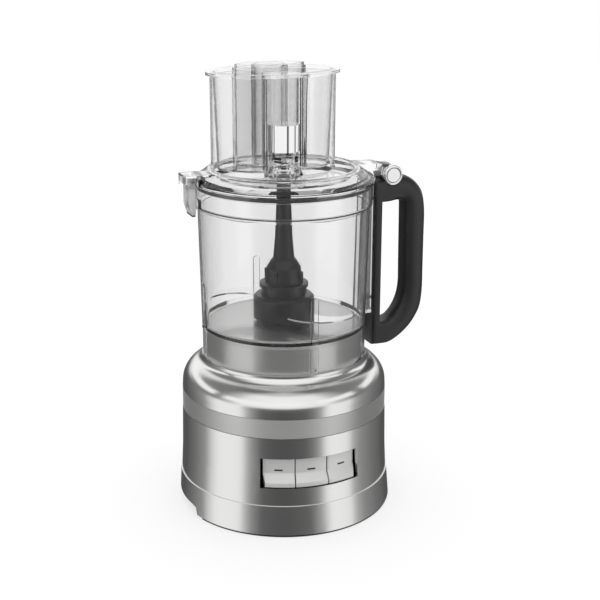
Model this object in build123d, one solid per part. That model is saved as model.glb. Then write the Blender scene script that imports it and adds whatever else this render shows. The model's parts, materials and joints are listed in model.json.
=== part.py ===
from build123d import *
import os
from math import cos, sin, pi, radians, sqrt

# Food processor with a clear bowl on a motor base. Millimetres, +Z up.
# The origin is on the drive axis, at the level the feet stand on, and the keys face -Y.
# The bowl, its lid and what they carry are drawn with the handle towards +X and the latch
# towards -X, and are then turned together by bowl_turn on the drive axis.

# ---- driving dimensions ----
bowl_turn = 5.0                 # how far the seated bowl stands turned from the keys, degrees

# base
foot_height = 3.0
housing_bottom_z = 2.5
chin_z = 31.4                   # crease above the flared foot of the housing
chin_r, chin_ledge = 106.05, 0.95
flare_r, flare_forward = 108.8, 2.1
wall = 2.6
band_r, band_z0, band_z1 = 103.6, 100.8, 119.8
shoulder_r, shoulder_z0 = 103.2, 127.0
neck_r, neck_z = 82.7, 156.0
neck_root = (88.4, 147.4)       # where the shoulder's curve turns up into the neck
pedestal_r, pedestal_top = 78.0, 185.0
grip_half, grip_z = 37.0, 10.5  # hand recess in the bottom edge, left and right

# keys
key_count, key_pitch, key_gap = 3, 18.5, 0.45
key_z0, key_z1 = 50.0, 79.6
key_face_r, key_lip_r, key_back_r = 99.5, 104.4, 96.0
key_pin_r, key_pin_at, key_pin_z = 1.0, 96.6, 82.6

# drive
motor_y = 54.0
motor_r = 36.0
drive_shaft_r, motor_shaft_r = 6.0, 4.0
drive_pulley_r, motor_pulley_r = 36.0, 12.0
pulley_z0, pulley_z1 = 12.0, 22.0
running = 0.05                  # radial clearance of a shaft in its bearing

# bowl
skirt_z, skirt_r = 157.8, 82.0
floor_z, bowl_floor = 185.6, 2.8
bowl_low_r, bowl_high_r, collar_z = 82.5, 85.0, 306.5
collar_r, rim_z, bowl_wall = 87.6, 330.9, 2.3
tube_r, tube_top = 12.5, 236.0

# lid
lid_z, lid_r = 331.2, 89.5
plug_r, seal_r = 82.4, 84.9
crest_r, crest_z, plateau_r, plateau_z = 71.0, 345.0, 67.0, 336.4
lid_wall = 2.3
tower_r, tower_top = 14.0, 360.0
cap_r, cap_top = 15.7, 386.0
hinge_x, hinge_z, hinge_half = 112.0, 330.2, 14.4
hinge_ring_r, hinge_disc_r, knuckle_r, hinge_pin_r = 10.4, 6.9, 9.6, 7.4
latch_x, latch_z, latch_half = -96.0, 337.6, 12.4

# feed tube and pushers
tube_a, tube_b, tube_y, tube_z = 64.0, 41.0, 29.0, 431.0
bay_r, bay_flare = 16.8, 4.6         # recess for the tower, and how much its mouth opens
horn_r = 4.0                    # rounding of the tube's two front edges
flange_a, flange_b, flange_top = 68.0, 46.0, 434.6
almond_half, almond_width, almond_y = 36.5, 19.0, 40.0
pusher_floor, medium_top, small_top = 340.0, 440.0, 439.4
small_r, small_lip_r = 15.8, 17.8

# handle screws
handle_screw_z, handle_screw_r = (202.0, 306.0), 1.6

# blade
blade_tip_r = 74.0

bottom = (Align.CENTER, Align.CENTER, Align.MIN)


# ---- helpers ----
def disc(r, z0, z1, x=0.0, y=0.0):
    """Upright cylinder between two heights."""
    return Pos(x, y, z0) * Cylinder(r, z1 - z0, align=bottom)


def ring(r, r_in, z0, z1, x=0.0, y=0.0):
    return disc(r, z0, z1, x, y) - disc(r_in, z0 - 1, z1 + 1, x, y)


def block(x0, x1, y0, y1, z0, z1):
    """Box between two corners."""
    size = (x1 - x0, y1 - y0, z1 - z0)
    return Pos((x0 + x1) / 2, (y0 + y1) / 2, (z0 + z1) / 2) * Box(*size)


def across(r, x, z, y0, y1):
    """Cylinder lying along Y."""
    return Pos(x, (y0 + y1) / 2, z) * Rot(90, 0, 0) * Cylinder(r, y1 - y0)


def spun(*edges):
    """Solid of revolution about Z from edges in the X-Z plane."""
    return revolve(make_face(edges), Axis.Z)


def spun_points(*points):
    return revolve(make_face(outline(*points)), Axis.Z)


def outline(*points):
    """Closed polyline in the X-Z plane."""
    return Polyline(*[(x, 0, z) for x, z in points], close=True)


def path(*points):
    return Polyline(*[(x, 0, z) for x, z in points])


def arc(a, b, c):
    return ThreePointArc(*[(x, 0, z) for x, z in (a, b, c)])


def oval(a, b, z0, z1, a1=None, b1=None):
    """Oval column of the feed tube, tapered if a second size is given."""
    low = Pos(0, tube_y, z0) * Ellipse(a, b)
    if a1 is None:
        return extrude(low, z1 - z0)
    return loft([low, Pos(0, tube_y, z1) * Ellipse(a1, b1)])


def bay_face(extra):
    """Outline of the tower's recess: round behind, opening towards the front."""
    side, mouth = bay_r + extra, bay_r + extra + bay_flare
    return Circle(side) + Polygon((-side, 0), (-mouth, -14), (mouth, -14), (side, 0), align=None)


def tube_column(inset, z0, z1):
    """Column of the feed tube with its recess, its front edges rounded."""
    face = Pos(0, tube_y) * Ellipse(tube_a - inset, tube_b - inset) - bay_face(inset)
    horns = face.vertices().sort_by(Axis.Y)[:2]
    return extrude(Pos(0, 0, z0) * fillet(horns, horn_r - inset), z1 - z0)


def bay(extra, z0, z1):
    return extrude(Pos(0, 0, z0) * bay_face(extra), z1 - z0)


def almond(half, width, z0, z1):
    """Column of two arcs that meet in a point at each end."""
    left, right = (-half, almond_y, z0), (half, almond_y, z0)
    back = ThreePointArc(left, (0, almond_y + width, z0), right)
    front = ThreePointArc(right, (0, almond_y - width, z0), left)
    return extrude(make_face([back, front]), z1 - z0, dir=(0, 0, 1))


def at_key(index):
    """Turns what is drawn facing -Y to the place of one key."""
    return Rot(0, 0, (index - 1) * key_pitch)


def sector(points, half_angle):
    """Solid of revolution between two angles about -Y."""
    face = make_face(outline(*points))
    return Rot(0, 0, -90 - half_angle) * revolve(face, Axis.Z, 2 * half_angle)


def screw(x, y, z, length, r=1.6):
    """Pan-head screw with its head down and a cross recess."""
    body = disc(2 * r, z, z + 1.2 * r, x, y) + disc(r, z, z + length, x, y)
    cross = block(x - 1.6, x + 1.6, y - 0.35, y + 0.35, z - 1, z + 0.9)
    return body - cross - Pos(x, y, 0) * Rot(0, 0, 90) * Pos(-x, -y, 0) * cross


def save(name, *shapes, turned=False):
    """Writes one node. Several shapes stay separate solids of that node."""
    turn = Rot(0, 0, bowl_turn if turned else 0)
    solids = [solid for shape in shapes for solid in (turn * shape).solids()]
    whole = solids[0] if len(solids) == 1 else Compound(solids)
    export_step(whole, f"parts/{name}.step")


# ---- base ----
def housing():
    lower = loft([
        Pos(0, -flare_forward, housing_bottom_z) * Circle(flare_r),
        Pos(0, 0, chin_z) * Circle(chin_r + chin_ledge),
    ])
    upper = spun(
        path((0, chin_z), (chin_r, chin_z), (104.7, 59), (band_r + 0.3, band_z0 - 0.4),
             (band_r - 2.2, band_z0 - 0.4), (band_r - 2.2, band_z1 + 0.4),
             (band_r - 0.1, band_z1 + 0.4), (shoulder_r, shoulder_z0)),
        arc((shoulder_r, shoulder_z0), (99.4, 138.6), neck_root),
        arc(neck_root, (84.2, 150.9), (neck_r, neck_z)),
        path((neck_r, neck_z), (0, neck_z), (0, chin_z)),
    )
    hollow = spun_points(
        (0, 0), (104.2, 0), (103.2, chin_z), (101.9, 59), (98.9, band_z0 - 4),
        (98.9, band_z1 + 3), (100.4, shoulder_z0), (96.8, 136.8), (89.4, 143.4),
        (84.4, 147.4), (80.6, 152.9), (0, 152.9),
    )
    throat = disc(pedestal_r + 0.3, 150, neck_z + 5)
    half = key_count * key_pitch / 2 + 0.5
    window = sector([(90, key_z0 - 0.6), (115, key_z0 - 0.6), (115, key_z1 + 0.5),
                     (90, key_z1 + 0.5)], half)
    grip = extrude(Plane.YZ * Polygon((-grip_half - 5, 0), (grip_half + 5, 0),
                                      (grip_half, grip_z), (-grip_half, grip_z),
                                      align=None), 120, both=True)
    cord_hole = across(6.1, 0, 22, 90, 120)
    return lower + upper - hollow - throat - window - grip - cord_hole


def trim_band():
    return ring(band_r, band_r - 2.1, band_z0, band_z1)


def pedestal():
    shell = disc(pedestal_r, 150.2, pedestal_top) + disc(80.2, 150.2, 152.6)
    return shell - disc(pedestal_r - 2.5, 149, pedestal_top - 2.8) - disc(15.0, 149, 190)


def at_corners(radius, make):
    """Four copies of a piece, at 45 degrees to the keys."""
    step = radius / sqrt(2)
    return [make(x, y) for x in (-step, step) for y in (-step, step)]


def base_plate():
    plate = disc(102.8, foot_height + 0.2, foot_height + 3.2)
    for hole in at_corners(74, lambda x, y: disc(1.8, 0, 10, x, y)):
        plate -= hole
    for x in range(-30, 31, 10):
        plate -= block(x - 2, x + 2, 30, 66, 0, 10)
    return plate


def feet():
    return at_corners(90, lambda x, y: disc(9, 0, foot_height + 0.2, x, y))


def base_screws():
    return at_corners(74, lambda x, y: screw(x, y, foot_height + 0.2 - 1.92, 14))


def chassis():
    """Plate that carries the motor and the drive column, on four posts."""
    plate = disc(92, 24, 27)
    for post in at_corners(74, lambda x, y: ring(5, 1.6, foot_height + 3.2, 24, x, y)):
        plate += post
    return plate - disc(9, 20, 30, 0, motor_y) - disc(11, 20, 30)


def bearing_column():
    tube = disc(17, 27, 31) + disc(14.5, 27, 181)
    return tube - disc(9, 20, 190) - disc(11, 26, 38) - disc(11, 170, 190)


def bearing(z0):
    race = ring(11, drive_shaft_r + running, z0, z0 + 9)
    groove = ring(9.6, 7.6, z0 + 8.2, z0 + 9.5)
    return race - groove


def drive_shaft():
    shaft = disc(drive_shaft_r, 10, 262)
    for side in (-1, 1):
        shaft -= block(4.6 * side - 2, 4.6 * side + 2, -9, 9, 240, 270).moved(
            Location((1.9 * side, 0, 0)))
    return shaft


def pulley(r, bore, y):
    """Flat-belt pulley with two rims and a web."""
    body = disc(r, pulley_z0, pulley_z1, 0, y)
    body += disc(r + 1.6, pulley_z0 - 1, pulley_z0, 0, y)
    body += disc(r + 1.6, pulley_z1, pulley_z1 + 1, 0, y)
    if r > 20:
        for z0, z1 in ((pulley_z0 - 2, 15.5), (18.5, pulley_z1 + 2)):
            body -= ring(r - 4, bore + 6, z0, z1, 0, y)
    return body - disc(bore, 0, 40, 0, y)


def belt():
    """Closed belt: the outer line of two circles and their tangents, given a thickness."""
    gap, thick = 0.4, 2.2
    lean = (drive_pulley_r - motor_pulley_r) / motor_y

    def loop(extra):
        big, small = drive_pulley_r + extra, motor_pulley_r + extra
        nx, ny = sqrt(1 - lean * lean), lean
        corners = [(nx * big, ny * big), (nx * small, motor_y + ny * small),
                   (-nx * small, motor_y + ny * small), (-nx * big, ny * big)]
        sides = extrude(Pos(0, 0, pulley_z0 + 0.6) * Polygon(*corners, align=None), 8.8)
        big_end = disc(big, pulley_z0 + 0.6, pulley_z0 + 9.4)
        small_end = disc(small, pulley_z0 + 0.6, pulley_z0 + 9.4, 0, motor_y)
        return sides + big_end + small_end

    return loop(gap + thick) - loop(gap)


def stator():
    core = ring(motor_r, 22, 36, 70, 0, motor_y)
    for k in range(4):
        spot = Pos(0, motor_y, 0) * Rot(0, 0, 45 + 90 * k)
        core -= spot * block(18, 27, -7, 7, 30, 80)
    return core


def field_coils():
    """Two wound coils in the stator's slots, joined over its ends."""
    coils = []
    for side in (-1, 1):
        coil = block(-19, 19, 0, 5, 32, 75) - block(-14, 14, -1, 6, 35.9, 70.1)
        coils.append(Pos(0, motor_y + side * 24.5 - 2.5, 0) * coil)
    core = ring(motor_r + 1, 21.6, 35.9, 70.1, 0, motor_y)
    return [coil - core for coil in coils]


def motor_bracket(z0, z1):
    """End bracket with a bearing boss and four arms on the stator's rim."""
    plate = disc(9, z0, z1, 0, motor_y)
    for k in range(4):
        spot = Pos(0, motor_y, 0) * Rot(0, 0, 90 * k)
        plate += spot * block(6, motor_r, -5, 5, z0, z1)
    return plate - disc(motor_shaft_r + running, 0, 120, 0, motor_y)


def lower_bracket():
    bracket = motor_bracket(27, 30)
    for k in range(4):
        spot = Pos(0, motor_y, 0) * Rot(0, 0, 90 * k)
        bracket += spot * block(motor_r - 6, motor_r, -5, 5, 27, 36)
    return bracket - disc(29.9, 30, 40, 0, motor_y)


def upper_bracket():
    bracket = motor_bracket(76, 79)
    for k in range(4):
        spot = Pos(0, motor_y, 0) * Rot(0, 0, 90 * k)
        bracket += spot * block(motor_r - 6, motor_r, -5, 5, 70, 79)
    return bracket - disc(29.9, 60, 76, 0, motor_y)


def rotor():
    core = disc(21.3, 38, 68, 0, motor_y)
    for k in range(12):
        core -= Pos(0, motor_y, 0) * Rot(0, 0, 30 * k) * block(17, 23, -1.2, 1.2, 30, 75)
    return core - disc(motor_shaft_r, 30, 80, 0, motor_y)


def commutator():
    drum = disc(9.5, 30.6, 37.5, 0, motor_y)
    for k in range(16):
        drum -= Pos(0, motor_y, 0) * Rot(0, 0, 22.5 * k) * block(8.7, 11, -0.3, 0.3, 29, 36)
    return drum - disc(motor_shaft_r, 25, 40, 0, motor_y)


def motor_shaft():
    return disc(motor_shaft_r, 9, 92, 0, motor_y)


def fan():
    wheel = disc(8, 82, 91, 0, motor_y) + disc(30, 82, 83.5, 0, motor_y)
    for k in range(9):
        wheel += Pos(0, motor_y, 0) * Rot(0, 0, 40 * k) * block(7, 29.5, -0.8, 0.8, 83, 90)
    return wheel - disc(motor_shaft_r, 70, 100, 0, motor_y)


def key(index):
    """Curved key: a recessed face above, a lip that ramps out below, a hinge tab behind."""
    half = key_pitch / 2 - key_gap / 104 * 180 / pi
    face = sector([(key_back_r, key_z0), (103.6, key_z0), (key_lip_r, key_z0 + 1.6),
                   (key_lip_r, key_z0 + 4.6), (key_face_r + 0.4, 62.2),
                   (key_face_r, 63.4), (key_face_r, key_z1), (key_back_r, key_z1)], half)
    for side in (-1, 1):
        corner = Rot(0, 0, side * half) * Pos(0, -key_lip_r, key_z0) * Rot(0, 45, 0)
        face -= corner * Box(4.2, 14, 4.2)
    tab = block(-12.2, 12.2, -key_pin_at - 2.1, -key_pin_at + 2.1, key_z1 - 4, key_pin_z + 2.1)
    hole = Pos(0, -key_pin_at, key_pin_z) * Rot(0, 90, 0) * Cylinder(key_pin_r + running, 60)
    return at_key(index) * (face + tab - hole)


def key_frame():
    """Curved carrier behind the keys, with two ears for each key's pin."""
    half = key_count * key_pitch / 2 + 0.8
    frame = sector([(90.6, 46), (92.6, 46), (92.6, 88), (90.6, 88)], half)
    for index in range(key_count):
        for side in (-1, 1):
            ear = block(side * 13.8 - 0.9, side * 13.8 + 0.9, -key_pin_at - 2.1, -91,
                        key_pin_z - 2.2, key_pin_z + 2.2)
            frame += at_key(index) * ear
        pin_hole = Pos(0, -key_pin_at, key_pin_z) * Rot(0, 90, 0) * Cylinder(key_pin_r, 29.4)
        frame -= at_key(index) * pin_hole
        frame -= at_key(index) * block(-5, 5, -95, -88, 53, 64)
    return frame


def key_pins():
    pin = Pos(0, -key_pin_at, key_pin_z) * Rot(0, 90, 0) * Cylinder(key_pin_r, 29.4)
    return [at_key(index) * pin for index in range(key_count)]


def control_board():
    return block(-36, 36, -79.6, -78, 44, 92)


def key_switches():
    """Three tact switches on the board, each with a plunger through the key frame."""
    switches = []
    for index in range(key_count):
        spot = at_key(index)
        reach = spot * (block(-5, 5, -86, -79, 54, 63)
                        + Pos(0, -90, 58.5) * Rot(90, 0, 0) * Cylinder(1.6, 8.6))
        switches.append(reach - block(-50, 50, -79.6, -60, 40, 100))
    return switches


def bowl_switch():
    """Safety switch under the pedestal's deck, pressed when the bowl is seated."""
    body = block(-64, -44, -7, 7, 168, 180)
    return body + disc(2, 180, pedestal_top - 2.9, -54, 0)


def cord_gland():
    body = across(6.0, 0, 22, 94, 108) + across(8.5, 0, 22, 107.2, 110.0)
    return body - across(3.6, 0, 22, 90, 115)


# ---- bowl ----
def bowl():
    shell = spun_points(
        (tube_r - 3, floor_z), (skirt_r - 2.6, floor_z), (skirt_r - 2.6, skirt_z),
        (skirt_r, skirt_z), (skirt_r, floor_z - 2), (bowl_low_r, floor_z - 1),
        (bowl_low_r, floor_z + 5), (bowl_high_r, collar_z), (collar_r - 0.3, collar_z + 3),
        (collar_r, rim_z), (collar_r - 2.4, rim_z), (collar_r - 2.4, collar_z + 5),
        (bowl_high_r - bowl_wall, collar_z + 1.5),
        (bowl_low_r - bowl_wall, floor_z + bowl_floor + 3),
        (bowl_low_r - bowl_wall - 3, floor_z + bowl_floor), (tube_r, floor_z + bowl_floor),
        (tube_r, tube_top - 1), (tube_r - 1, tube_top), (tube_r - 3, tube_top),
    )
    inside = spun_points(
        (0, floor_z + bowl_floor), (bowl_low_r - bowl_wall - 3, floor_z + bowl_floor),
        (bowl_low_r - bowl_wall, floor_z + bowl_floor + 3),
        (bowl_high_r - bowl_wall, collar_z + 1.5), (collar_r - 2.4, collar_z + 5),
        (collar_r - 2.4, rim_z + 9), (0, rim_z + 9),
    )
    ribs = []
    for angle in (0, 180, 270):
        rib = block(-3.4, 3.4, -bowl_low_r - 2.6, -bowl_low_r + 1, 188, 230)
        rib += Pos(0, -bowl_low_r - 0.8, 230) * Rot(90, 0, 0) * Cylinder(3.4, 3.6)
        ribs.append(Rot(0, 0, angle) * rib)
    guide = block(-4.2, 4.2, -skirt_r - 2.4, -skirt_r + 1, skirt_z, 183)
    guide -= Pos(0, -skirt_r - 2, 162) * Rot(90, 0, 0) * Cylinder(1.8, 3)
    rail = block(80, 93, -8.6, 8.6, 187, 322)
    rail -= block(85.6, 90.4, -6.4, 6.4, 190, 319)
    catch = block(-90.2, -86, -8, 8, 310, 319)
    extras = ribs[0] + ribs[1] + ribs[2] + guide + rail + catch
    for shank in handle_shanks():
        extras -= shank
    return shell + (extras - inside)


def handle_shanks():
    """Space that the handle's screws take in the rail and in the handle."""
    return [Pos(94.4, 0, z) * Rot(0, 90, 0) * Cylinder(handle_screw_r, 8.0)
            for z in handle_screw_z]


def handle():
    """Loop handle: mounting strip, finger window and a saddle for the lid's hinge."""
    outer = [
        path((93.2, 152.4), (93.2, 325.0), (101, 325.0), (hinge_x, 327.2), (127.5, 327.8)),
        Spline((127.5, 0, 327.8), (140.6, 0, 320.6), (149.6, 0, 307.5), (152, 0, 288)),
        path((152, 288), (152.2, 206)),
        Spline((152.2, 0, 206), (149.6, 0, 187), (141, 0, 171), (128, 0, 159),
               (111, 0, 152.0), (93.2, 0, 152.4)),
    ]
    window = [
        path((102, 176.5), (102, 302.5), (123.5, 302.5)),
        arc((123.5, 302.5), (126.5, 301.3), (127.8, 298.4)),
        path((127.8, 298.4), (129, 215)),
        Spline((129, 0, 215), (127.2, 0, 202), (120.5, 0, 187), (111.5, 0, 178.6),
               (102, 0, 176.5)),
    ]
    solid = extrude(make_face(outer), 13.0, both=True)
    hole = extrude(make_face(window), 20, both=True)
    saddle = across(hinge_ring_r + 0.9, hinge_x, hinge_z, -20, 20)
    body = solid - hole
    for shank in handle_shanks():
        body -= shank
    return body - saddle


def handle_screws():
    """Two screws that hold the handle to the bowl's rail, heads inside the rail."""
    screws = []
    for z in handle_screw_z:
        head = Pos(89.3, 0, z) * Rot(0, 90, 0) * Cylinder(3.2, 2.2)
        shank = Pos(94.4, 0, z) * Rot(0, 90, 0) * Cylinder(handle_screw_r, 8.0)
        screws.append(head + shank)
    return screws


# ---- blade ----
def polar(r, angle, z):
    return (r * cos(radians(angle)), r * sin(radians(angle)), z)


def blade(tip_angle, z):
    """Sickle blade: the cutting edge is the outer curve, from the hub to the tip."""
    root, heel = polar(26, tip_angle - 80, z), polar(24, tip_angle - 12, z)
    tip = polar(blade_tip_r, tip_angle, z)
    edge = ThreePointArc(root, polar(56, tip_angle - 42, z), tip)
    back = ThreePointArc(tip, polar(47, tip_angle - 22, z), heel)
    return extrude(make_face([edge, back, Line(heel, root)]), 1.6, dir=(0, 0, 1))


def blade_hub(blades):
    body = spun_points(
        (0, 192), (30.5, 192), (30.5, 213), (28, 215.5), (22.7, 216), (22.7, 223.5),
        (24.5, 224), (24.5, 227.5), (18.8, 228.5), (17.0, 243.5), (12.2, 251.5),
        (10.6, 252.8), (8.65, 274.6), (7.7, 300), (6.4, 331), (5.2, 334.6), (0, 334.6),
    )
    cavity = disc(tube_r + 1.5, 190, 239)
    cavity += ring(27.6, 20, 190, 195.5)
    socket = disc(drive_shaft_r + 0.15, 238, 263)
    for side in (-1, 1):
        socket -= block(min(4.8 * side, 8 * side), max(4.8 * side, 8 * side), -9, 9, 241, 270)
    body -= cavity + socket
    for k in range(4):
        body += Rot(0, 0, 45 + 90 * k) * block(14.2, 20.5, -1.6, 1.6, 228, 240)
    for each in blades:
        body -= each
    return body


# ---- lid ----
def lid():
    dome = spun(
        path((12.0, plateau_z), (plateau_r - 1, plateau_z), (plateau_r + 1.4, crest_z - 1.2)),
        arc((plateau_r + 1.4, crest_z - 1.2), (crest_r, crest_z), (75, crest_z - 1.6)),
        Spline((75, 0, crest_z - 1.6), (79, 0, 340.6), (83.6, 0, 337.4), (88.4, 0, 334.6)),
        path((88.4, 334.6), (lid_r, 333.4), (lid_r, lid_z), (plug_r, lid_z), (plug_r, 325),
             (plug_r - 2, 325), (plug_r - 2, 335.6), (76.4, 338.9), (74, 341.0), (71, 342.6),
             (69.6, 342.0), (67.4, plateau_z - lid_wall), (12.0, plateau_z - lid_wall),
             (12.0, plateau_z)),
    )
    tower = spun_points((11.6, 330), (13.2, 330), (19, plateau_z), (16.2, 344),
                        (tower_r, 345.5), (tower_r, tower_top), (11.6, tower_top))
    feed = tube_column(0, plateau_z - 1, tube_z)
    bore = tube_column(2.2, 300, 450)
    arm = extrude(make_face(outline((76, 336), (100.6, 336), (100.6, 342.0), (97, 342.6),
                                    (74, 343.4))), 12.4, both=True)
    cheeks = block(84, 100, -12.4, -9.8, lid_z, 337) + block(84, 100, 9.8, 12.4, lid_z, 337)
    knuckle = across(knuckle_r, hinge_x, hinge_z, -9.2, 9.2)
    lugs = [extrude(make_face(outline((97, 334), (hinge_x, 327), (hinge_x, hinge_z + knuckle_r),
                                      (97, 342.4))), 9.2, both=True)]
    hood = block(-103, -72, -latch_half, latch_half, 341.2, 343.4)
    hood += block(-103, -101.2, -latch_half, latch_half, 335.4, 341.4)
    for side in (-1, 1):
        low, high = sorted((side * latch_half, side * (latch_half - 1.8)))
        hood += block(-103, -84, low, high, 331.8, 341.4)
    hood += block(-90.6, -84, -latch_half, latch_half, 332, 341.4)
    body = dome + tower + feed + arm + cheeks + knuckle + lugs[0] + hood
    keep_out = spun_points((0, 300), (plug_r - 2, 300), (plug_r - 2, 335.6), (76.4, 338.9),
                           (74, 341.0), (71, 342.6), (69.6, 342.0), (67.4, 334.0),
                           (19, 334.0), (0, 334.0))
    body -= bore
    body -= across(hinge_pin_r, hinge_x, hinge_z, -20, 20)
    body -= across(1.5, latch_x, latch_z, -20, 20)
    return body - (keep_out - disc(19.4, 300, 345))


def lid_seal():
    return ring(seal_r, plug_r, 326.6, lid_z)


def tower_cap():
    return disc(cap_r, tower_top, cap_top) - disc(cap_r - 1.6, tower_top - 1, cap_top - 1.6)


def tower_bushing():
    """Sleeve in the tower that centres the top of the blade's shaft."""
    return ring(11.6, 7.4, 330.4, 338.4)


def hinge_pin():
    """Wide hollow pin with closed ends."""
    pin = across(hinge_pin_r, hinge_x, hinge_z, 0.8 - hinge_half, hinge_half - 0.8)
    return pin - across(hinge_pin_r - 1.8, hinge_x, hinge_z, -12, 12)


def hinge_rings():
    """Bright collars at both ends of the hinge barrel."""
    rings = []
    for side in (-1, 1):
        y0, y1 = sorted((side * 9.2, side * hinge_half))
        body = across(hinge_ring_r, hinge_x, hinge_z, y0, y1)
        rings.append(body - across(hinge_pin_r, hinge_x, hinge_z, -30, 30))
    return rings


def hinge_discs():
    discs = []
    for side in (-1, 1):
        y0, y1 = sorted((side * (hinge_half - 0.8), side * (hinge_half + 0.2)))
        discs.append(across(hinge_disc_r, hinge_x, hinge_z, y0, y1))
    return discs


def latch_lever():
    """Lever that swings on the lid's hood and grips the catch on the bowl."""
    section = outline((-98.3, 335.8), (-99.2, 333.0), (-99.2, 314.0), (-96.6, 305.4),
                      (-93.2, 305.4), (-92.6, 314), (-93.4, 333), (-93.7, 335.8))
    body = extrude(make_face(section), 10.4, both=True)
    body += across(2.4, latch_x, latch_z, -10.4, 10.4)
    body += block(latch_x - 2.3, latch_x + 2.3, -10.4, 10.4, 334, latch_z)
    body -= block(-101, -94.8, -7.8, 7.8, 311, 333.4)
    for side in (-1, 1):
        brace = Pos(-96.4, 0, 322.4) * Rot(side * 35, 0, 0) * Box(3.8, 2.0, 24)
        body += brace & block(-99, -94, -8, 8, 310, 334)
    body -= block(-96, -90, -4.5, 4.5, 318, 329)
    return body - across(1.55, latch_x, latch_z, -20, 20)


def latch_tip():
    return block(-96.5, -93.3, -9.2, 9.2, 303.6, 305.4)


def latch_pin():
    return across(1.5, latch_x, latch_z, -latch_half + 0.1, latch_half - 0.1)


# ---- pushers ----
def large_pusher():
    """Oval cup that fills the feed tube, with a pointed sleeve for the medium pusher."""
    cup = oval(57.5, 34.5, pusher_floor, tube_z + 0.4, 61.0, 38.0)
    cup += oval(flange_a, flange_b, tube_z + 0.4, flange_top)
    cup -= bay(2.8, 300, tube_z + 0.4)
    hollow = oval(55.8, 32.8, pusher_floor + 2, flange_top + 1, 59.3, 36.3)
    hollow -= bay(4.6, 300, 450)
    cup -= hollow
    cup += almond(almond_half + 2.1, almond_width + 2.0, pusher_floor, flange_top)
    return cup - almond(almond_half + 0.6, almond_width + 0.6, 300, 450)


def medium_pusher():
    """Pointed cup with a round sleeve for the small pusher and a rim that stands proud."""
    cup = almond(almond_half, almond_width, pusher_floor + 1, medium_top)
    cup += almond(almond_half + 1.9, almond_width + 1.9, flange_top + 0.4, 437.0)
    hollow = almond(almond_half - 3.0, almond_width - 1.8, pusher_floor + 3, 450)
    hollow -= disc(small_r + 2.2, 300, medium_top - 3.0, 0, almond_y)
    cup -= disc(small_lip_r + 0.7, medium_top - 3.0, 450, 0, almond_y)
    return cup - hollow - disc(small_r + 0.6, 300, 450, 0, almond_y)


def small_pusher():
    cup = disc(small_r, pusher_floor + 2, small_top, 0, almond_y)
    cup += disc(small_lip_r, medium_top - 2.6, small_top, 0, almond_y)
    return cup - disc(small_r - 2.0, pusher_floor + 5, 450, 0, almond_y)


# ---- writing the nodes ----
os.makedirs("parts", exist_ok=True)

save("base_housing", housing())
save("trim_band", trim_band())
save("pedestal", pedestal())
save("base_plate", base_plate())
save("feet", *feet())
save("base_screws", *base_screws())
save("chassis", chassis())
save("bearing_column", bearing_column())
save("lower_bearing", bearing(29))
save("upper_bearing", bearing(171))
save("shaft_seal", ring(15.0, drive_shaft_r + 0.3, pedestal_top - 2.8, pedestal_top))
save("drive_shaft", drive_shaft(), turned=True)
save("drive_pulley", pulley(drive_pulley_r, drive_shaft_r, 0))
save("motor_pulley", pulley(motor_pulley_r, motor_shaft_r, motor_y))
save("drive_belt", belt())
save("motor_stator", stator())
save("field_coils", *field_coils())
save("motor_lower_bracket", lower_bracket())
save("motor_upper_bracket", upper_bracket())
save("motor_shaft", motor_shaft())
save("motor_rotor", rotor())
save("commutator", commutator())
save("cooling_fan", fan())
for index, name in enumerate(("key_low", "key_high", "key_pulse")):
    save(name, key(index))
save("key_frame", key_frame())
save("key_pins", *key_pins())
save("control_board", control_board())
save("key_switches", *key_switches())
save("bowl_switch", bowl_switch())
save("cord_gland", cord_gland())

save("bowl_shell", bowl(), turned=True)
save("handle", handle(), turned=True)
save("handle_screws", *handle_screws(), turned=True)

upper_blade, lower_blade = blade(160, 209.4), blade(-30, 197.4)
save("upper_blade", upper_blade, turned=True)
save("lower_blade", lower_blade, turned=True)
save("blade_hub", blade_hub((upper_blade, lower_blade)), turned=True)

save("lid_shell", lid(), turned=True)
save("lid_seal", lid_seal(), turned=True)
save("tower_cap", tower_cap(), turned=True)
save("tower_bushing", tower_bushing(), turned=True)
save("hinge_pin", hinge_pin(), turned=True)
save("hinge_rings", *hinge_rings(), turned=True)
save("hinge_discs", *hinge_discs(), turned=True)
save("latch_pin", latch_pin(), turned=True)
save("latch_lever", latch_lever(), turned=True)
save("latch_tip", latch_tip(), turned=True)

save("large_pusher", large_pusher(), turned=True)
save("medium_pusher", medium_pusher(), turned=True)
save("small_pusher", small_pusher(), turned=True)
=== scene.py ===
import bpy
import bmesh
import json
from math import radians, degrees, pi, sin, cos, atan2
from mathutils import Matrix, Vector


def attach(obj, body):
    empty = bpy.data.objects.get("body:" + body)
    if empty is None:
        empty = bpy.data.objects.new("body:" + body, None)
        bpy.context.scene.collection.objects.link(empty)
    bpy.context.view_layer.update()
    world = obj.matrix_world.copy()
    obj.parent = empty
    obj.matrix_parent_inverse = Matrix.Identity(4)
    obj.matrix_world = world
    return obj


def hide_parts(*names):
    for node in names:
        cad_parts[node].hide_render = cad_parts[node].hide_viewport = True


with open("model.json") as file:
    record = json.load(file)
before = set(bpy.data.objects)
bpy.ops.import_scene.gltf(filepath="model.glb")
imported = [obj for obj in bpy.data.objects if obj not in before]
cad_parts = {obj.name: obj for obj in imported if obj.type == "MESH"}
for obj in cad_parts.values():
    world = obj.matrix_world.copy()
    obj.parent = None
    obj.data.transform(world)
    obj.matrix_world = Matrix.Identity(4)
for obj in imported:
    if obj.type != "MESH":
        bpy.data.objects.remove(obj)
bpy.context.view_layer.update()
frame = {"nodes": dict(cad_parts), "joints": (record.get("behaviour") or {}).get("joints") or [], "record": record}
nodes = frame["nodes"]
mm = 0.001
scene = bpy.context.scene
print("frame loaded")

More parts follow.
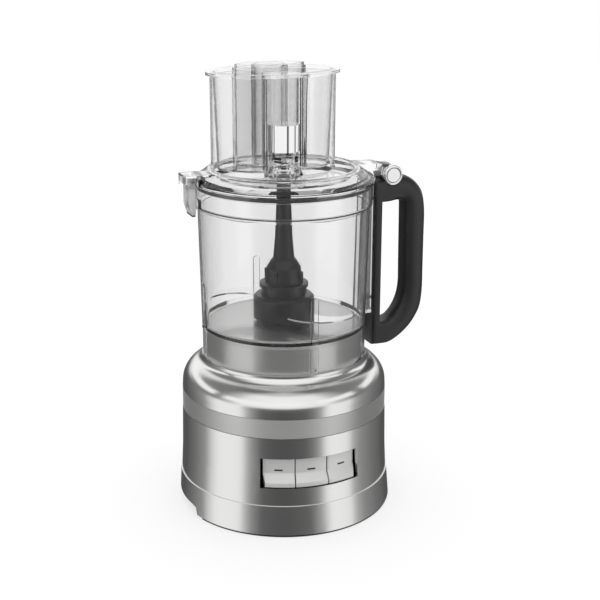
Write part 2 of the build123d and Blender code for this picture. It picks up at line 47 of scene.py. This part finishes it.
# the bowl, lid and handle stand turned on the drive axis; the lid's hinge axis tells by how much
hingeAxis = [j for j in frame["joints"] if j["name"] == "lid_hinge"][0]["axis"]
bowlTurn = atan2(-hingeAxis[0], hingeAxis[1])
hingeX, hingeZ = 112.0, 330.2        # centre of the hinge barrel in the bowl's own axes, mm


def place(x, y, z):
    # millimetres in the bowl's own axes (handle +X) to the row frame
    c, s = cos(bowlTurn), sin(bowlTurn)
    return ((x * c - y * s) * mm, (x * s + y * c) * mm, z * mm)


def roundCorners(points, radii, steps=5):
    # closed flat outline with an arc in each corner, always the same number of points
    made = []
    for i, (point, radius) in enumerate(zip(points, radii)):
        here = Vector(point)
        before = Vector(points[i - 1]) - here
        after = Vector(points[(i + 1) % len(points)]) - here
        half = before.angle(after) / 2
        cut = min(radius / max(0.05, abs(sin(half) / cos(half))), before.length * 0.49, after.length * 0.49)
        start, end = here + before.normalized() * cut, here + after.normalized() * cut
        for k in range(steps):
            t = k / (steps - 1)
            made.append(tuple((1 - t) ** 2 * start + 2 * t * (1 - t) * here + t * t * end))
    return made


def catmull(points, steps):
    # smooth open line through the points
    ends = [points[0]] + list(points) + [points[-1]]
    made = []
    for i in range(1, len(ends) - 2):
        a, b, c, d = (Vector(p) for p in ends[i - 1:i + 3])
        for k in range(steps):
            t = k / steps
            made.append(tuple(0.5 * (2 * b + (c - a) * t + (2 * a - 5 * b + 4 * c - d) * t * t
                                     + (3 * b - a - 3 * c + d) * t ** 3)))
    return made + [tuple(points[-1])]


def loftLoops(loops, closed=False):
    # faces between loops of equal length; capped at both ends unless the row of loops is closed
    count = len(loops[0])
    verts = [v for loop in loops for v in loop]
    faces = []
    for i in range(len(loops) - (0 if closed else 1)):
        a, b = i * count, ((i + 1) % len(loops)) * count
        faces += [(a + k, a + (k + 1) % count, b + (k + 1) % count, b + k) for k in range(count)]
    if not closed:
        faces += [tuple(reversed(range(count))), tuple(range(len(verts) - count, len(verts)))]
    return verts, faces


def newPiece(name, verts, faces, material, body, replaces=(), creaseDeg=40):
    mesh = bpy.data.meshes.new(name)
    mesh.from_pydata(verts, [], faces)
    work = bmesh.new()
    work.from_mesh(mesh)
    bmesh.ops.recalc_face_normals(work, faces=work.faces)
    work.to_mesh(mesh)
    work.free()
    mesh.shade_smooth()
    mesh.set_sharp_from_angle(angle=radians(creaseDeg))
    mesh.materials.append(material)
    piece = bpy.data.objects.new(name, mesh)
    scene.collection.objects.link(piece)
    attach(piece, body)
    if replaces:
        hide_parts(*replaces)
    return piece


def hexColour(code):
    # sRGB hex to linear, as the shader sockets want it
    parts = [int(code[i:i + 2], 16) / 255 for i in (1, 3, 5)]
    return [c / 12.92 if c <= 0.04045 else ((c + 0.055) / 1.055) ** 2.4 for c in parts] + [1.0]


def addNode(tree, kind, links=None, **settings):
    # settings that start with in_ are inputs, by name or by number; the others are the node's properties
    node = tree.nodes.new(kind)
    for key, value in settings.items():
        if key.startswith("in_"):
            name = key[3:].replace("_", " ")
            socket = node.inputs[int(name)] if name.isdigit() else node.inputs[name]
            socket.default_value = value
        else:
            setattr(node, key, value)
    for target, source in (links or {}).items():
        tree.links.new(source, node.inputs[target])
    return node


def newMaterial(name, colour, **sockets):
    material = bpy.data.materials.new(name)
    material.use_nodes = True
    shader = material.node_tree.nodes["Principled BSDF"]
    shader.inputs["Base Color"].default_value = hexColour(colour)
    for key, value in sockets.items():
        shader.inputs[key.replace("_", " ")].default_value = value
    return material, material.node_tree, shader


def patternSurface(tree, shader, sizeMm, detail, roughness=None, bump=None, depthMm=0.0):
    # one pattern of the given size along x, y and z spreads the roughness and lifts the surface
    coords = addNode(tree, "ShaderNodeTexCoord")
    where = addNode(tree, "ShaderNodeMapping", {"Vector": coords.outputs["Object"]},
                    in_Scale=[1 / (size * mm) for size in sizeMm])
    spots = addNode(tree, "ShaderNodeTexNoise", {"Vector": where.outputs[0]}, in_Scale=1.0, in_Detail=detail)
    if roughness is not None:
        spread = addNode(tree, "ShaderNodeMapRange", {"Value": spots.outputs["Fac"]},
                         in_To_Min=roughness[0], in_To_Max=roughness[1])
        tree.links.new(spread.outputs["Result"], shader.inputs["Roughness"])
    if bump is not None:
        lift = addNode(tree, "ShaderNodeBump", {"Height": spots.outputs["Fac"]},
                       in_Strength=bump, in_Distance=depthMm * mm)
        tree.links.new(lift.outputs["Normal"], shader.inputs["Normal"])


lacquerValues = {"colour": "#ebebea", "roughness": 0.2, "flakeMm": 0.35, "coat": 0.15}


def metallicLacquer(v):
    # die-cast housing with a metallic lacquer: soft wide streaks of light, a faint sparkle of flakes
    material, tree, shader = newMaterial("metallicLacquer", v["colour"], Metallic=1.0,
                                         Coat_Weight=v["coat"], Coat_Roughness=v["roughness"])
    patternSurface(tree, shader, (v["flakeMm"],) * 3, 2.0,
                   (v["roughness"] - 0.03, v["roughness"] + 0.04), 0.06, 0.02)
    return material


# the lines are drawn coarser than real ones, or they would not show
brushValues = {"colour": "#dededd", "lineMm": 0.3, "lineLongMm": 166.667}


def brushedSteel(name, roughness, v):
    # steel strip brushed round its length: fine level lines that smear the light upwards
    material, tree, shader = newMaterial(name, v["colour"], Metallic=1.0, Anisotropic=0.88,
                                         Anisotropic_Rotation=0.25)
    patternSurface(tree, shader, (v["lineLongMm"], v["lineLongMm"], v["lineMm"]), 4.0,
                   (roughness - 0.08, roughness + 0.12), 0.25, 0.03)
    tangent = addNode(tree, "ShaderNodeTangent", direction_type="RADIAL", axis="Z")
    tree.links.new(tangent.outputs[0], shader.inputs["Tangent"])
    return material


chromeValues = {"colour": "#eeeeee", "hazeMm": 1.1111}


def polishedChrome(v):
    # chrome plate on plastic: a sharp mirror with hard dark and bright bands
    material, tree, shader = newMaterial("polishedChrome", v["colour"], Metallic=1.0, Roughness=0.05)
    patternSurface(tree, shader, (v["hazeMm"],) * 3, 2.0, (0.03, 0.08))
    return material


clearValues = {"flowWideMm": 16.6667, "flowHighMm": 40.0, "flowDeepMm": 0.15}


def clearSan(name, tint, haze, v, roughness=0.015, wave=0.05):
    # injection moulded styrene acrylonitrile: glassy, with faint flow waves that bend what is behind
    material, tree, shader = newMaterial(name, tint, Roughness=roughness, IOR=1.5)
    shader.inputs["Transmission Weight"].default_value = 1.0 - haze
    patternSurface(tree, shader, (v["flowWideMm"], v["flowWideMm"], v["flowHighMm"]), 1.0,
                   None, wave, v["flowDeepMm"])
    return material


def grainedFinish(name, colour, roughness, grainMm=0.4, bump=0.15, **sockets):
    # moulded, turned or cast surface: an even fine grain that breaks up each highlight
    material, tree, shader = newMaterial(name, colour, **sockets)
    patternSurface(tree, shader, (grainMm,) * 3, 3.0, (roughness - 0.05, roughness + 0.07), bump, 0.05)
    return material


materials = {
    "satin_housing": metallicLacquer(lacquerValues),
    "brushed_steel": brushedSteel("brushedSteel", 0.5, brushValues),
    "polished_metal": polishedChrome(chromeValues),
    "clear_plastic": clearSan("mouldedClearSan", "#fefefe", 0.005, clearValues, wave=0.03),
    # handle: near black with a dull, even sheen
    "charcoal_plastic": grainedFinish("mouldedCharcoalAbs", "#1e1e1f", 0.4, grainMm=0.5, bump=0.12),
    # blade hub: smooth and black, with slow changes of gloss
    "hub_plastic": grainedFinish("mouldedHubAbs", "#111112", 0.3, grainMm=3.0, bump=0.0),
    # keys: pale satin with a hint of metal
    "key_plastic": grainedFinish("satinKeyAbs", "#c6c6c5", 0.34, Metallic=0.35),
    "pale_plastic": grainedFinish("paleCapAbs", "#dcdcdc", 0.35),             # pale and evenly satin
    "seal_rubber": grainedFinish("mouldedSilicone", "#2b2b2c", 0.5),          # dark grey and dull
    "black_plastic": grainedFinish("blackNylon", "#161617", 0.45),            # flat black
    "steel": grainedFinish("turnedSteel", "#9a9a9a", 0.3, bump=0.08, Metallic=1.0),      # grey and bright
    # rough grey metal, with the pitting of a casting
    "cast_metal": grainedFinish("castAluminium", "#8f9091", 0.55, grainMm=1.2, bump=0.4, Metallic=1.0),
    "copper_winding": grainedFinish("enamelledCopper", "#a0552d", 0.35, Metallic=1.0),   # warm red-brown
    "board": grainedFinish("epoxyLaminate", "#1d4a2a", 0.4),                  # dark green, half glossy
}
# the bowl's thicker wall looks greyer, the latch is a frosted moulding, the pedestal is brushed finer
special = {
    "bowl_shell": clearSan("mouldedBowlSan", "#f9f9f9", 0.02, clearValues),
    "latch_lever": clearSan("frostedSan", "#e4e4e4", 0.45, clearValues, roughness=0.4),
    "pedestal": brushedSteel("finelyBrushedSteel", 0.34, brushValues),
}
for part in frame["record"]["subparts"]:
    mesh = nodes[part["node"]].data
    mesh.materials.clear()
    mesh.materials.append(special.get(part["node"], materials[part["material_slot"]]))
print("materials made")


handleValues = {
    "halfWidth": 12.9, "gripRound": 2.7, "stripRound": 7.0,
    "stripX": 98.0, "blendOver": 26.0,         # where the squarer strip turns into the rounder grip
    "saddleRadius": 11.2, "saddleLong": 60.0,
    "creaseDeg": 50,
    # matched points of the inner and outer outline: x, z inside, then x, z outside
    "strip": [(102, 176.5, 93.3, 152.6), (102, 240, 93.3, 240), (102, 296, 93.3, 300)],
    "grip": [(102, 302.5, 93.3, 324.9), (107, 302.5, 101, 324.9), (113, 302.5, 112, 327.0),
             (119, 302.5, 127.0, 327.7), (123.5, 302.5, 134.5, 325.2), (126.5, 301.3, 142.0, 319.3),
             (127.8, 298.4, 148.6, 309.3), (128.0, 290, 151.8, 291), (128.4, 260, 152.0, 262),
             (128.8, 232, 152.1, 230), (129, 215, 152.1, 206), (127.6, 203.5, 150.0, 188.5),
             (124.5, 194.2, 145.6, 178.4), (120.5, 187, 140.2, 170.3), (116, 181.8, 133, 162.8),
             (111.5, 178.6, 125, 157.4), (107, 176.9, 113, 152.6), (104, 176.5, 103, 152.2),
             (102, 176.5, 93.3, 152.6)],
}


def signedPower(value, power):
    return abs(value) ** power * (1 if value > 0 else -1)


def cutSaddle(handle, v):
    # the hinge barrel turns in a round saddle cut across the top
    cutter = bpy.data.meshes.new("saddle")
    across = Matrix.Rotation(bowlTurn, 4, "Z") @ Matrix.Rotation(pi / 2, 4, "X")
    radius = v["saddleRadius"] * mm
    work = bmesh.new()
    bmesh.ops.create_cone(work, cap_ends=True, segments=96, radius1=radius, radius2=radius,
                          depth=v["saddleLong"] * mm,
                          matrix=Matrix.Translation(place(hingeX, 0, hingeZ)) @ across)
    work.to_mesh(cutter)
    work.free()
    tool = bpy.data.objects.new("saddle", cutter)
    scene.collection.objects.link(tool)
    cut = handle.modifiers.new("saddle", "BOOLEAN")
    cut.object, cut.operation, cut.solver = tool, "DIFFERENCE", "EXACT"
    shaped = bpy.data.meshes.new_from_object(handle.evaluated_get(bpy.context.evaluated_depsgraph_get()))
    handle.modifiers.clear()
    handle.data = shaped
    shaped.set_sharp_from_angle(angle=radians(v["creaseDeg"]))
    bpy.data.objects.remove(tool)


def buildHandle(v):
    # up the strip beside the bowl, over the top and down the grip to its foot
    line = []
    for run in (v["strip"], v["grip"]):
        line += catmull(run, 8)
    # points that fall on the one before are dropped, and so is the last, which is the first again
    line = [p for i, p in enumerate(line)
            if i == 0 or (Vector(p) - Vector(line[i - 1])).length > 0.05][:-1]
    loops = []
    for xi, zi, xo, zo in line:
        middle, reach = Vector(((xi + xo) / 2, (zi + zo) / 2)), Vector(((xo - xi) / 2, (zo - zi) / 2))
        blend = min(1, max(0, (middle.x - v["stripX"]) / v["blendOver"]))
        eased = blend * blend * (3 - 2 * blend)
        power = 2 / (v["stripRound"] + (v["gripRound"] - v["stripRound"]) * eased)
        loop = []
        for k in range(40):
            a = 2 * pi * k / 40
            at = middle + reach * signedPower(cos(a), power)
            loop.append(place(at.x, signedPower(sin(a), power) * v["halfWidth"], at.y))
        loops.append(loop)
    verts, faces = loftLoops(loops, closed=True)
    handle = newPiece("gripHandle", verts, faces, materials["charcoal_plastic"], "bowl",
                      ["handle"], v["creaseDeg"])
    cutSaddle(handle, v)


buildHandle(handleValues)
print("handle built")

keyValues = {
    "pitchDeg": 18.5, "gapMm": 1.05, "edge": 0.45,
    "rowR": 104.0,                             # radius that the gap and the eased ends are measured on
    "backR": 96.0, "faceR": 99.45, "lipR": 104.4, "footZ": 50.0, "topZ": 79.6,
    "taperR": 99.9, "taperOver": 4.5, "taperDeg": 2.1, "taperTopZ": 64.0,
    "dashLong": 8.0, "dashHigh": 1.6, "dashZ": 66.6, "dashBackR": 99.3, "dashFaceR": 99.56, "dashRowR": 99.5,
}


def keyStations(v):
    # the section along the key: slim at the two ends, full between them
    back, face, lip, foot, top = v["backR"], v["faceR"], v["lipR"], v["footZ"], v["topZ"]
    edge = v["edge"]
    points = [(back, foot), (103.7, foot), (lip, 51.4), (lip, 54.8), (99.9, 62.4), (face, 63.8), (face, top),
              (back, top)]
    inset = [(r - edge, z + (0.3 if z < 52 else 0)) for r, z in points[1:-2]]
    soft = [0.2, 0.5, 0.5, 0.5, 1.2, 1.2, edge, 0.2]
    full = roundCorners(points, soft)
    slimTop = [(face - edge, top - 0.4), (back + 0.2, top - 0.4)]
    slim = roundCorners([(back + 0.2, foot + 0.2)] + inset + slimTop, soft)
    half = v["pitchDeg"] / 2 - degrees(v["gapMm"] / 2 / v["rowR"])
    ease = degrees(edge / v["rowR"])
    between = [tuple(Vector(a).lerp(Vector(b), 0.65)) for a, b in zip(slim, full)]
    stations = [(-half, slim), (-half + ease * 0.35, between)]
    stations += [(-half + ease + (2 * half - 2 * ease) * k / 16, full) for k in range(17)]
    stations += [(-a, loop) for a, loop in reversed(stations[:2])]
    return half, stations


def buildKeyCap(name, index, turn, v):
    # a key is its section swept round the drive axis; the outer ends taper in under the crease
    half, stations = keyStations(v)
    loops = []
    for a, section in stations:
        loop = []
        for r, z in section:
            lean = 0
            if z < v["taperTopZ"]:
                lean = max(0, min(1, (r - v["taperR"]) / v["taperOver"])) * v["taperDeg"]
            side = a
            if index == 0:
                side = a + lean * max(0, -a / half) ** 6
            if index == 2:
                side = a - lean * max(0, a / half) ** 6
            angle = radians(turn + side)
            loop.append((r * cos(angle) * mm, r * sin(angle) * mm, z * mm))
        loops.append(loop)
    verts, faces = loftLoops(loops)
    newPiece(name + "_cap", verts, faces, materials["key_plastic"], name[4:] + "_key",
             [name], 60)


def buildKeyDash(name, turn, v):
    # a pressed-in dash on the upper face shows where the finger goes
    wide = degrees(v["dashLong"] / 2 / v["dashRowR"])
    low, high = v["dashZ"] - v["dashHigh"] / 2, v["dashZ"] + v["dashHigh"] / 2
    strip = roundCorners([(v["dashBackR"], low), (v["dashFaceR"], low), (v["dashFaceR"], high),
                          (v["dashBackR"], high)], [0.05] * 4)
    # share of the half length, and how tall the dash is there
    ends = [(1, 0.55), (0.95, 0.9), (0.9, 1.0), (0.4, 1.0)]
    spots = [(-share, tall) for share, tall in ends] + [(0, 1.0)] + list(reversed(ends))
    loops = []
    for share, tall in spots:
        angle = radians(turn + wide * share)
        loops.append([(r * cos(angle) * mm, r * sin(angle) * mm, (v["dashZ"] + (z - v["dashZ"]) * tall) * mm)
                      for r, z in strip])
    verts, faces = loftLoops(loops)
    newPiece(name + "_dash", verts, faces, materials["black_plastic"], name[4:] + "_key")


for index, name in enumerate(("key_low", "key_high", "key_pulse")):
    keyTurn = (index - 1) * keyValues["pitchDeg"] - 90
    buildKeyCap(name, index, keyTurn, keyValues)
    buildKeyDash(name, keyTurn, keyValues)
print("keys built")

ringValues = {"outer": 10.2, "inner": 7.5, "from": 9.2, "to": 14.4, "round": 1.3}


def buildHingeRings(v):
    # turned collars with rounded shoulders at both ends of the barrel
    section = roundCorners([(v["inner"], v["from"]), (v["outer"], v["from"]), (v["outer"], v["to"]),
                            (v["inner"], v["to"])], [0.1, 0.4, v["round"], 0.9], 7)
    for index, side in enumerate((-1, 1)):
        loops = []
        for k in range(72):
            a = 2 * pi * k / 72
            loops.append([place(hingeX + cos(a) * r, side * y, hingeZ + sin(a) * r) for r, y in section])
        verts, faces = loftLoops(loops, closed=True)
        newPiece("hingeCollar%d" % index, verts, faces, materials["polished_metal"], "lid",
                 ["hinge_rings"])


buildHingeRings(ringValues)
print("hinge built")

# painted shade: a black rim under the housing's edge darkens the gap where shade falls on the floor
shadeRimValues = {"outer": 108.2, "inner": 104.6, "z": (0.3, 2.4), "forward": 2.0, "gripDeg": 25.0}


def buildShadeRim(v):
    # black rim set just inside the lower edge of the housing: painted shade for the shadowed gap under it, in two
    # arcs that leave room for the hand grips at the sides
    low, high = v["z"]
    section = roundCorners([(v["inner"], low), (v["outer"], low), (v["outer"], high), (v["inner"], high)],
                           [0.3, 0.8, 0.3, 0.3])
    for name, middle in (("shadeRimFront", -90), ("shadeRimBack", 90)):
        loops = []
        for k in range(97):
            a = radians(middle + (90 - v["gripDeg"]) * (k / 48 - 1))
            loops.append([(r * cos(a) * mm, (r * sin(a) - v["forward"]) * mm, z * mm) for r, z in section])
        verts, faces = loftLoops(loops)
        newPiece(name, verts, faces, materials["black_plastic"], "base")


buildShadeRim(shadeRimValues)
print("shade rim built")

lugValues = {"z0": 350.0, "z1": 355.2, "radius": 14.35, "thick": 1.2, "spanDeg": 15.0,
             "shares": {"a": (0.0, 0.36), "b": (0.5, 1.0)}}      # lower and upper lug of a pair, by height


def buildCapLugs(v):
    # four pairs of dark bayonet lugs of the chrome cap, seen in the clear tower
    tall = v["z1"] - v["z0"]
    inner, outer = v["radius"] - v["thick"], v["radius"]
    for index, turn in enumerate((-135, -45, 45, 135)):
        for letter, (low, high) in v["shares"].items():
            z0, z1 = v["z0"] + tall * low, v["z0"] + tall * high
            section = roundCorners([(inner, z0), (outer, z0), (outer, z1), (inner, z1)], [0.2] * 4)
            loops = []
            for k in range(9):
                angle = radians(turn + v["spanDeg"] * (k / 4 - 1))
                loops.append([place(r * cos(angle), r * sin(angle), z) for r, z in section])
            verts, faces = loftLoops(loops)
            newPiece("capLug%d%s" % (index, letter), verts, faces, materials["black_plastic"], "lid")


buildCapLugs(lugValues)
print("tower built")

studio = {
    "cameraTurn": -15.6,       # degrees about the drive axis
    "cameraAway": 1200.0, "cameraHeight": 576.9, "cameraTilt": 17.09, "lens": 74.76, "shift": 0.0271,
    # brightness round the object, by the angle from the camera, left to right
    "bands": [(-180, 0.9), (-168, 0.1), (-143, 0.08), (-125, 0.14), (-100, 0.26), (-84, 0.80), (-78, 0.96),
              (-47, 0.96), (-42, 0.46), (-33, 0.24), (-24, 0.10), (0, 0.08), (24, 0.10), (31, 0.16),
              (41, 0.32), (47, 0.84), (51, 0.98), (76, 0.92), (84, 0.40), (100, 0.24), (125, 0.15),
              (150, 0.08), (168, 0.10), (180, 0.9)],
    # height of the softbox's soft lower and upper edge, in degrees
    "softboxFrom": (2, 7), "softboxTo": (60, 72),
    # brightness of the softbox and of what is over it, by the angle to either side of the camera
    "softbox": [(0, 1.0), (46, 0.95), (64, 0.5), (84, 0.18), (125, 0.2), (150, 0.9), (180, 1.1)],
    "zenith": [(0, 0.62), (40, 0.5), (80, 0.12), (140, 0.12), (180, 0.2)],
    "fill": 1.35, "inside": 0.7,
    "paper": "#8c8c8c", "paperGlow": 0.68, "paperHalf": 3.0,
    # small curved cards low in front, which only the tower and the tube mirror: from, to in degrees
    "cards": [(-150, -78), (-66, 22), (36, 80), (95, 150)], "cardSteps": 24,
    "cardAway": 520.0, "cardZ": (258.0, 400.0), "cardLight": 1.05,
}
studioTurn = radians(studio["cameraTurn"])


def fillRamp(ramp, stops):
    ramp.interpolation = "EASE"
    ramp.elements[0].position, ramp.elements[1].position = stops[0][0], stops[-1][0]
    for spot, light in stops[1:-1]:
        ramp.elements.new(spot)
    for element, (spot, light) in zip(ramp.elements, stops):
        element.color = (light, light, light, 1)


def onCircle(away, angle, z):
    # a point at this angle from the front, in metres
    return (sin(angle) * away * mm, -cos(angle) * away * mm, z * mm)


def buildCamera(v):
    camera = bpy.data.objects.new("camera", bpy.data.cameras.new("camera"))
    scene.collection.objects.link(camera)
    scene.camera = camera
    camera.location = onCircle(v["cameraAway"], studioTurn, v["cameraHeight"])
    camera.rotation_euler = (radians(90 - v["cameraTilt"]), 0, studioTurn)
    camera.data.lens = v["lens"]
    camera.data.shift_x = v["shift"]
    camera.data.clip_start = 0.05


def buildWorld(v):
    world = bpy.data.worlds.new("studioWorld")
    scene.world = world
    world.use_nodes = True
    tree = world.node_tree
    background = tree.nodes["Background"]
    coords = addNode(tree, "ShaderNodeTexCoord")
    facing = addNode(tree, "ShaderNodeMapping", {"Vector": coords.outputs["Generated"]},
                     in_Rotation=(0, 0, -studioTurn))
    xyz = addNode(tree, "ShaderNodeSeparateXYZ", {0: facing.outputs[0]})
    back = addNode(tree, "ShaderNodeMath", {0: xyz.outputs["Y"]}, operation="MULTIPLY", in_1=-1.0)
    angle = addNode(tree, "ShaderNodeMath", {0: xyz.outputs["X"], 1: back.outputs[0]}, operation="ARCTAN2")
    spot = addNode(tree, "ShaderNodeMapRange", {"Value": angle.outputs[0]}, in_From_Min=-pi, in_From_Max=pi)
    ramp = addNode(tree, "ShaderNodeValToRGB", {"Fac": spot.outputs[0]})
    fillRamp(ramp.color_ramp, [((side + 180) / 360, light) for side, light in v["bands"]])
    low, high = v["softboxFrom"], v["softboxTo"]
    rise = addNode(tree, "ShaderNodeMapRange", {"Value": xyz.outputs["Z"]}, interpolation_type="SMOOTHSTEP",
                   in_From_Min=sin(radians(low[0])), in_From_Max=sin(radians(low[1])))
    fall = addNode(tree, "ShaderNodeMapRange", {"Value": xyz.outputs["Z"]}, interpolation_type="SMOOTHSTEP",
                   in_From_Min=sin(radians(high[0])), in_From_Max=sin(radians(high[1])),
                   in_To_Min=1.0, in_To_Max=0.0)
    turned = addNode(tree, "ShaderNodeMath", {0: angle.outputs[0]}, operation="ABSOLUTE")
    share = addNode(tree, "ShaderNodeMath", {0: turned.outputs[0]}, operation="DIVIDE", in_1=pi)
    boxRamp = addNode(tree, "ShaderNodeValToRGB", {"Fac": share.outputs[0]})
    fillRamp(boxRamp.color_ramp, [(side / 180, light) for side, light in v["softbox"]])
    topRamp = addNode(tree, "ShaderNodeValToRGB", {"Fac": share.outputs[0]})
    fillRamp(topRamp.color_ramp, [(side / 180, light) for side, light in v["zenith"]])
    # a colour mix has its two colours in sockets 6 and 7, and its result in 2
    upper = addNode(tree, "ShaderNodeMix", data_type="RGBA",
                    links={"Factor": fall.outputs[0], 6: topRamp.outputs["Color"],
                           7: boxRamp.outputs["Color"]})
    bands = addNode(tree, "ShaderNodeMix", data_type="RGBA",
                    links={"Factor": rise.outputs[0], 6: ramp.outputs["Color"], 7: upper.outputs[2]})
    ray = addNode(tree, "ShaderNodeLightPath")
    # light that has bounced about inside clear plastic comes from all round, so it is brighter and even
    again = addNode(tree, "ShaderNodeMath", {0: ray.outputs["Glossy Depth"]}, operation="SUBTRACT", in_1=1.0)
    mixed = addNode(tree, "ShaderNodeMix", data_type="RGBA", clamp_factor=True,
                    links={"Factor": again.outputs[0], 6: bands.outputs[2]}, in_7=(v["inside"],) * 3 + (1,))
    # shiny surfaces see the bands, matte ones and the paper get an even fill, the eye sees plain white
    plain = addNode(tree, "ShaderNodeMix", {"Factor": ray.outputs["Diffuse Depth"]}, data_type="FLOAT",
                    clamp_factor=True, in_2=1.0, in_3=v["fill"])
    shown = addNode(tree, "ShaderNodeMix", data_type="RGBA", clamp_factor=True,
                    links={"Factor": ray.outputs["Glossy Depth"], 6: plain.outputs[0], 7: mixed.outputs[2]})
    tree.links.new(shown.outputs[2], background.inputs["Color"])


def buildFloor(v):
    # lit paper that only the matte surfaces and the eye see
    half = v["paperHalf"]
    floorMesh = bpy.data.meshes.new("floor")
    floorMesh.from_pydata([(-half, -half, 0), (half, -half, 0), (half, half, 0), (-half, half, 0)], [],
                          [(0, 1, 2, 3)])
    floor = bpy.data.objects.new("floor", floorMesh)
    scene.collection.objects.link(floor)
    paper, _, shader = newMaterial("litPaper", v["paper"], Roughness=0.9)
    shader.inputs["Emission Color"].default_value = (1, 1, 1, 1)
    shader.inputs["Emission Strength"].default_value = v["paperGlow"]
    floorMesh.materials.append(paper)
    floor.visible_glossy = floor.visible_transmission = False


def buildCards(v):
    glow = bpy.data.materials.new("cardGlow")
    glow.use_nodes = True
    glow.node_tree.nodes.clear()
    light = addNode(glow.node_tree, "ShaderNodeEmission", in_Strength=v["cardLight"])
    addNode(glow.node_tree, "ShaderNodeOutputMaterial", {"Surface": light.outputs[0]})
    steps = v["cardSteps"]
    for index, (start, end) in enumerate(v["cards"]):
        verts = []
        for k in range(steps + 1):
            a = radians(start + (end - start) * k / steps) + studioTurn
            verts += [onCircle(v["cardAway"], a, z) for z in v["cardZ"]]
        cardMesh = bpy.data.meshes.new("card%d" % index)
        cardMesh.from_pydata(verts, [], [(2 * k, 2 * k + 2, 2 * k + 3, 2 * k + 1) for k in range(steps)])
        card = bpy.data.objects.new("card%d" % index, cardMesh)
        scene.collection.objects.link(card)
        cardMesh.materials.append(glow)
        card.visible_camera = card.visible_diffuse = card.visible_shadow = False
        card.visible_transmission = False


buildCamera(studio)
buildWorld(studio)
buildFloor(studio)
buildCards(studio)
scene.view_settings.view_transform = "Standard"
# clear walls stand one behind another, so light needs many steps to get through them
scene.cycles.max_bounces = 24
scene.cycles.transmission_bounces = 24
scene.cycles.glossy_bounces = 8
scene.cycles.caustics_reflective = False
print("studio built")
